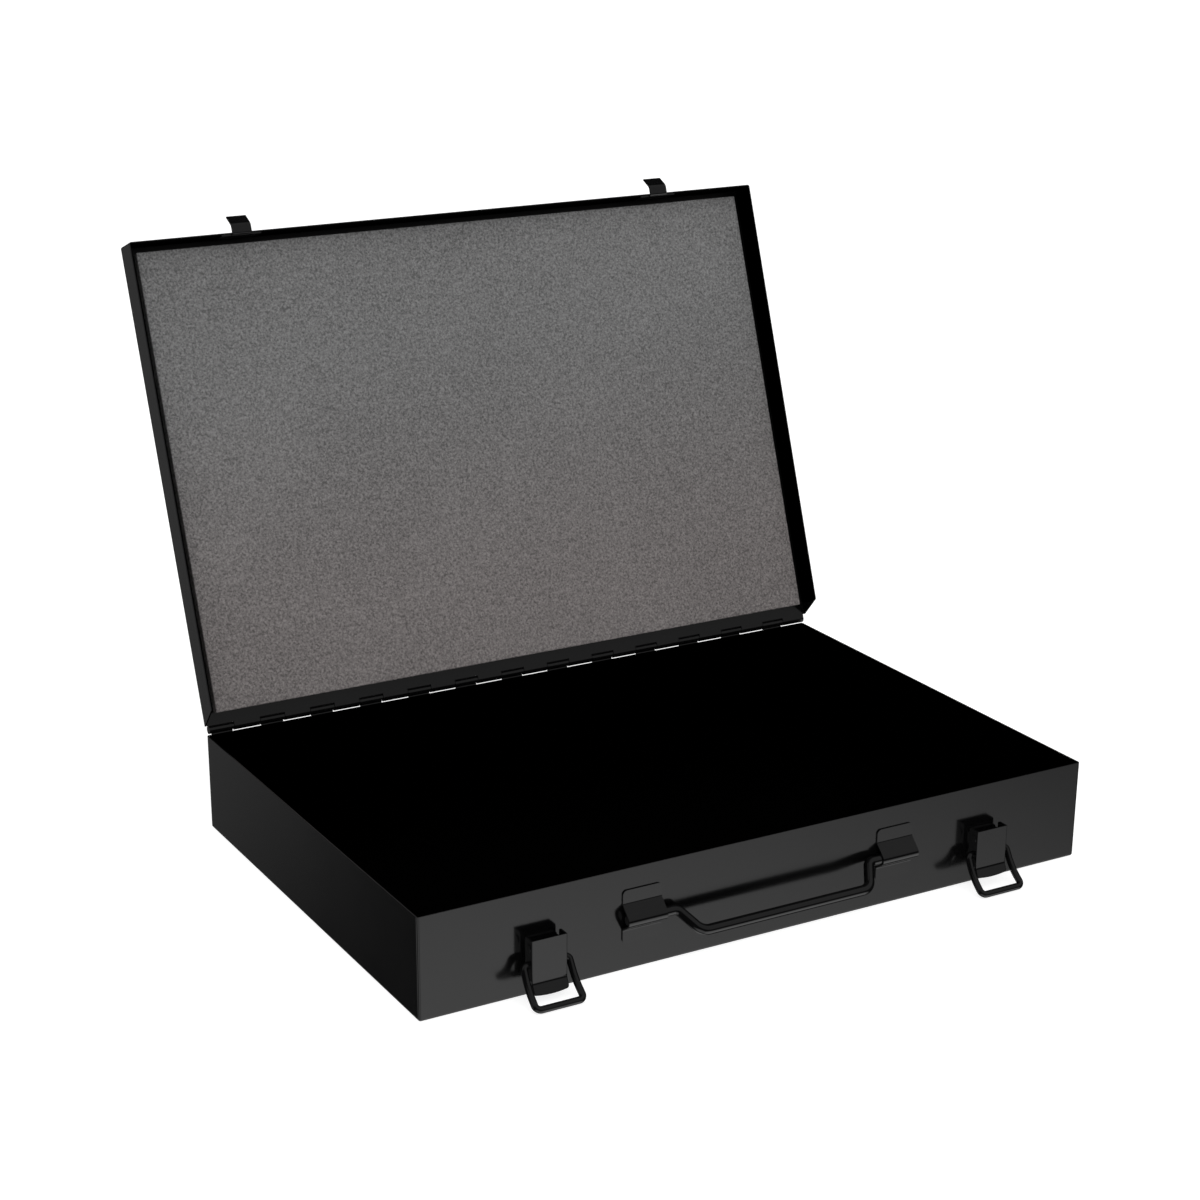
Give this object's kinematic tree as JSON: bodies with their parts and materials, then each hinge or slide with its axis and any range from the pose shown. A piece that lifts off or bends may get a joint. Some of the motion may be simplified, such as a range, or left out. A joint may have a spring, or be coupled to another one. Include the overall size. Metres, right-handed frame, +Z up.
{
  "type": "organizer case",
  "caption": "Flat folded-steel case with a foam-lined pan lid on a full-width knuckle hinge, draw latches with wire loops and a swinging wire handle.",
  "frame": {"origin": "middle of the tray's underside, on the surface the case stands on", "axes": "+X along the front towards the right latch, -Y out of the front that carries the latches and handle, +Z up"},
  "size_m": [0.4602, 0.4339, 0.3726],
  "materials": {
    "body_paint": "gloss black powder coat on folded steel sheet",
    "hardware_paint": "gloss black powder coat on pressed steel and bent wire",
    "pin_steel": "drawn steel wire",
    "foam": "matte open-cell grey foam",
    "adhesive": "pressure-sensitive film"
  },
  "bodies": {
    "case_body": {"tray": "body_paint", "hinge_pin": "pin_steel", "latch_base_left": "hardware_paint", "latch_base_right": "hardware_paint", "latch_pin_left": "hardware_paint", "latch_pin_right": "hardware_paint", "handle_clip_left": "hardware_paint", "handle_clip_right": "hardware_paint"},
    "lid_body": {"lid": "body_paint", "foam_pad": "foam", "foam_adhesive": "adhesive", "latch_hook_left": "hardware_paint", "latch_hook_right": "hardware_paint"},
    "lever_left": {"latch_lever_left": "hardware_paint"},
    "lever_right": {"latch_lever_right": "hardware_paint"},
    "loop_left": {"latch_loop_left": "hardware_paint"},
    "loop_right": {"latch_loop_right": "hardware_paint"},
    "handle": {"carry_handle": "hardware_paint"}
  },
  "joints": [
    {"name": "lid_hinge", "type": "hinge", "parent": "case_body", "child": "lid_body", "pos_m": [0, 0.1529, 0.06628], "axis": [1, 0, 0], "range_deg": [0, 109.94]},
    {"name": "latch_lever_left_hinge", "type": "hinge", "parent": "case_body", "child": "lever_left", "pos_m": [-0.153, -0.1594, 0.0325], "axis": [1, 0, 0], "range_deg": [-78, 0]},
    {"name": "latch_lever_right_hinge", "type": "hinge", "parent": "case_body", "child": "lever_right", "pos_m": [0.154, -0.1594, 0.0325], "axis": [1, 0, 0], "range_deg": [-78, 0]},
    {"name": "latch_loop_left_hinge", "type": "hinge", "parent": "lever_left", "child": "loop_left", "pos_m": [-0.153, -0.1589, 0.022], "axis": [-1, 0, 0], "range_deg": [0, 139.24]},
    {"name": "latch_loop_right_hinge", "type": "hinge", "parent": "lever_right", "child": "loop_right", "pos_m": [0.154, -0.1589, 0.022], "axis": [-1, 0, 0], "range_deg": [0, 139.24]},
    {"name": "handle_swing", "type": "hinge", "parent": "case_body", "child": "handle", "pos_m": [0, -0.1566, 0.0328], "axis": [1, 0, 0], "range_deg": [-112, 54]}
  ]
}
